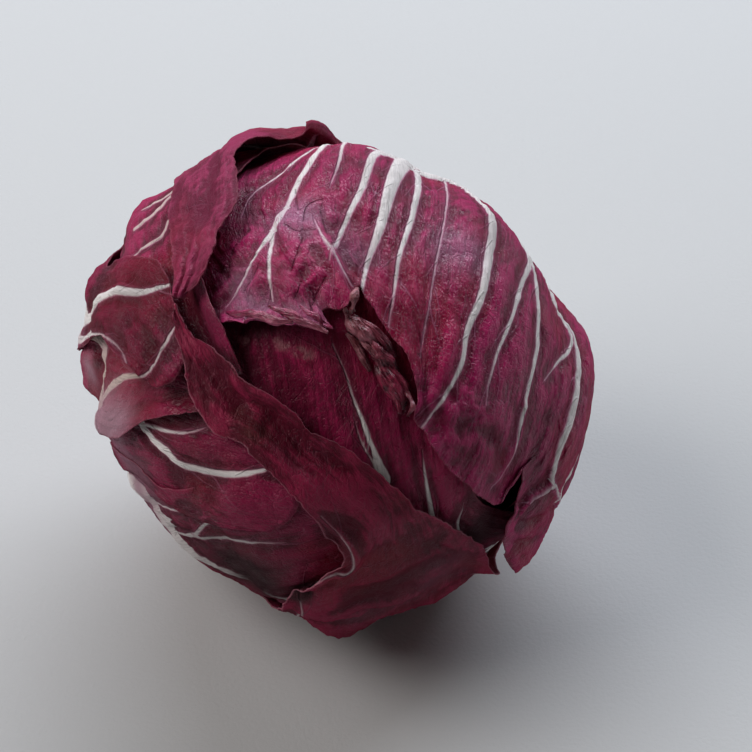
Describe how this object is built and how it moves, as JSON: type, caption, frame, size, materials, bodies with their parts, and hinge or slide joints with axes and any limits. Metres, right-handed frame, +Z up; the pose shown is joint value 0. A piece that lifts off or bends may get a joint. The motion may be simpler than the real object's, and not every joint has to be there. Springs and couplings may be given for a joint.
{
  "type": "radicchio head",
  "caption": "Round head of red radicchio with white-ribbed burgundy leaves wrapped over each other, lying on its side with its cut stem at the back.",
  "frame": {"origin": "middle of the small flat spot that the head rests on, straight below the head's centre", "axes": "+Z up, +Y back towards the cut stem, +X to the right as seen from the leaf tips' side"},
  "size_m": [0.1227, 0.1225, 0.1118],
  "materials": {
    "stem_cut": "matte",
    "heart_leaf": "satin",
    "wine_leaf": "satin",
    "dark_leaf": "satin",
    "wilted_leaf": "satin"
  },
  "bodies": {
    "root": {"stem_core": "stem_cut", "heart": "heart_leaf", "inner_leaf_1": "heart_leaf", "inner_leaf_2": "heart_leaf", "inner_leaf_3": "heart_leaf", "inner_leaf_4": "heart_leaf", "inner_leaf_5": "heart_leaf", "inner_leaf_6": "heart_leaf", "inner_leaf_7": "heart_leaf", "under_leaf_top": "wine_leaf", "under_leaf_right": "wine_leaf", "under_leaf_low": "wine_leaf", "under_leaf_back": "wine_leaf", "centre_leaf": "dark_leaf", "low_left_leaf": "wine_leaf", "lower_left_leaf": "wine_leaf", "middle_left_leaf": "wine_leaf", "upper_leaf": "wine_leaf", "high_left_leaf": "wine_leaf", "left_tongue_leaf": "wine_leaf", "band_leaf": "dark_leaf", "flap_leaf": "wilted_leaf"}
  },
  "joints": []
}
